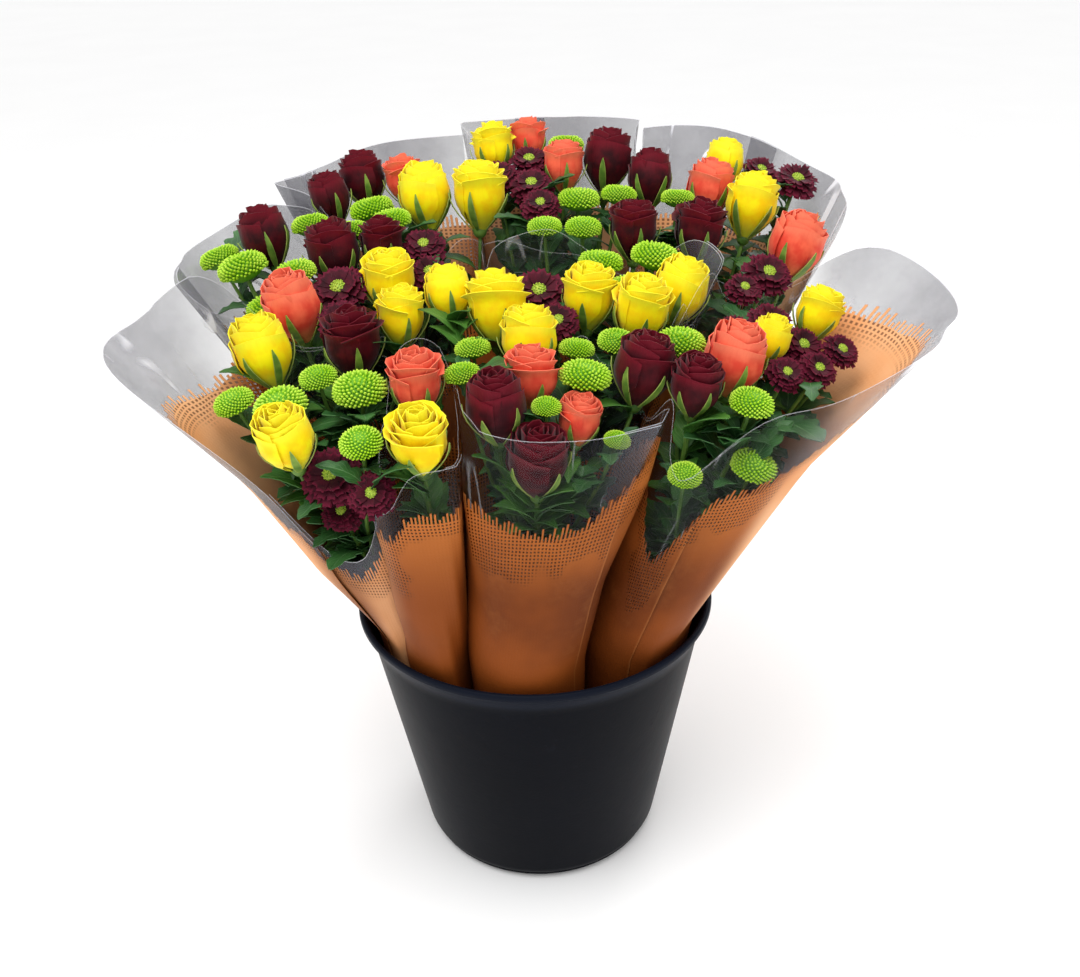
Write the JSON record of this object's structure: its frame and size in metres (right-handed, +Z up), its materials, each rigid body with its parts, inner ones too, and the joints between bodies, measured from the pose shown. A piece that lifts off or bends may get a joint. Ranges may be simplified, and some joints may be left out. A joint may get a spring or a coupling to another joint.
{
  "type": "mixed flower bouquet",
  "caption": "Mixed bunches of spray roses and button chrysanthemums in clear film sleeves with an orange woven print, standing in water in a black plastic flower bucket.",
  "frame": {"origin": "centre of the bucket's underside, on the surface that it stands on", "axes": "+Z up, -Y to the front where the sleeves are cut low, +X to the right as seen from the front"},
  "size_m": [0.614, 0.4577, 0.5785],
  "materials": {
    "bucket": "smooth, satin, almost black",
    "water": "clear, slightly green",
    "printed_film": "clear gloss film, printed orange with a loose woven edge on its lower part",
    "rubber_band": "natural tan",
    "yellow_rose": "soft, clear yellow petals on a green stem",
    "coral_rose": "soft, coral petals on a green stem",
    "burgundy_rose": "velvety, dark red petals on a green stem",
    "green_button": "matt, lime green florets on a green stem",
    "burgundy_daisy": "matt, dark red ray florets round a lime centre"
  },
  "bodies": {
    "root": {"bucket": "bucket", "water": "water", "back_left_sleeve": "printed_film", "back_right_sleeve": "printed_film", "back_sleeve": "printed_film", "far_left_sleeve": "printed_film", "front_left_sleeve": "printed_film", "front_sleeve": "printed_film", "left_sleeve": "printed_film", "middle_sleeve": "printed_film", "right_sleeve": "printed_film", "back_band": "rubber_band", "back_left_band": "rubber_band", "back_right_band": "rubber_band", "far_left_band": "rubber_band", "front_band": "rubber_band", "front_left_band": "rubber_band", "left_band": "rubber_band", "middle_band": "rubber_band", "right_band": "rubber_band", "back_burgundy_daisy": "burgundy_daisy", "back_burgundy_rose": "burgundy_rose", "back_coral_rose": "coral_rose", "back_green_button": "green_button", "back_left_burgundy_rose": "burgundy_rose", "back_left_coral_rose": "coral_rose", "back_left_green_button": "green_button", "back_left_yellow_rose": "yellow_rose", "back_right_burgundy_daisy": "burgundy_daisy", "back_right_burgundy_rose": "burgundy_rose", "back_right_coral_rose": "coral_rose", "back_right_green_button": "green_button", "back_right_yellow_rose": "yellow_rose", "back_yellow_rose": "yellow_rose", "far_left_burgundy_daisy": "burgundy_daisy", "far_left_burgundy_rose": "burgundy_rose", "far_left_coral_rose": "coral_rose", "far_left_green_button": "green_button", "far_left_yellow_rose": "yellow_rose", "front_burgundy_rose": "burgundy_rose", "front_coral_rose": "coral_rose", "front_green_button": "green_button", "front_left_coral_rose": "coral_rose", "front_left_yellow_rose": "yellow_rose", "front_yellow_rose": "yellow_rose", "left_burgundy_daisy": "burgundy_daisy", "left_burgundy_rose": "burgundy_rose", "left_green_button": "green_button", "left_yellow_rose": "yellow_rose", "middle_burgundy_daisy": "burgundy_daisy", "middle_green_button": "green_button", "middle_yellow_rose": "yellow_rose", "right_burgundy_daisy": "burgundy_daisy", "right_burgundy_rose": "burgundy_rose", "right_coral_rose": "coral_rose", "right_green_button": "green_button", "right_yellow_rose": "yellow_rose"}
  },
  "joints": []
}
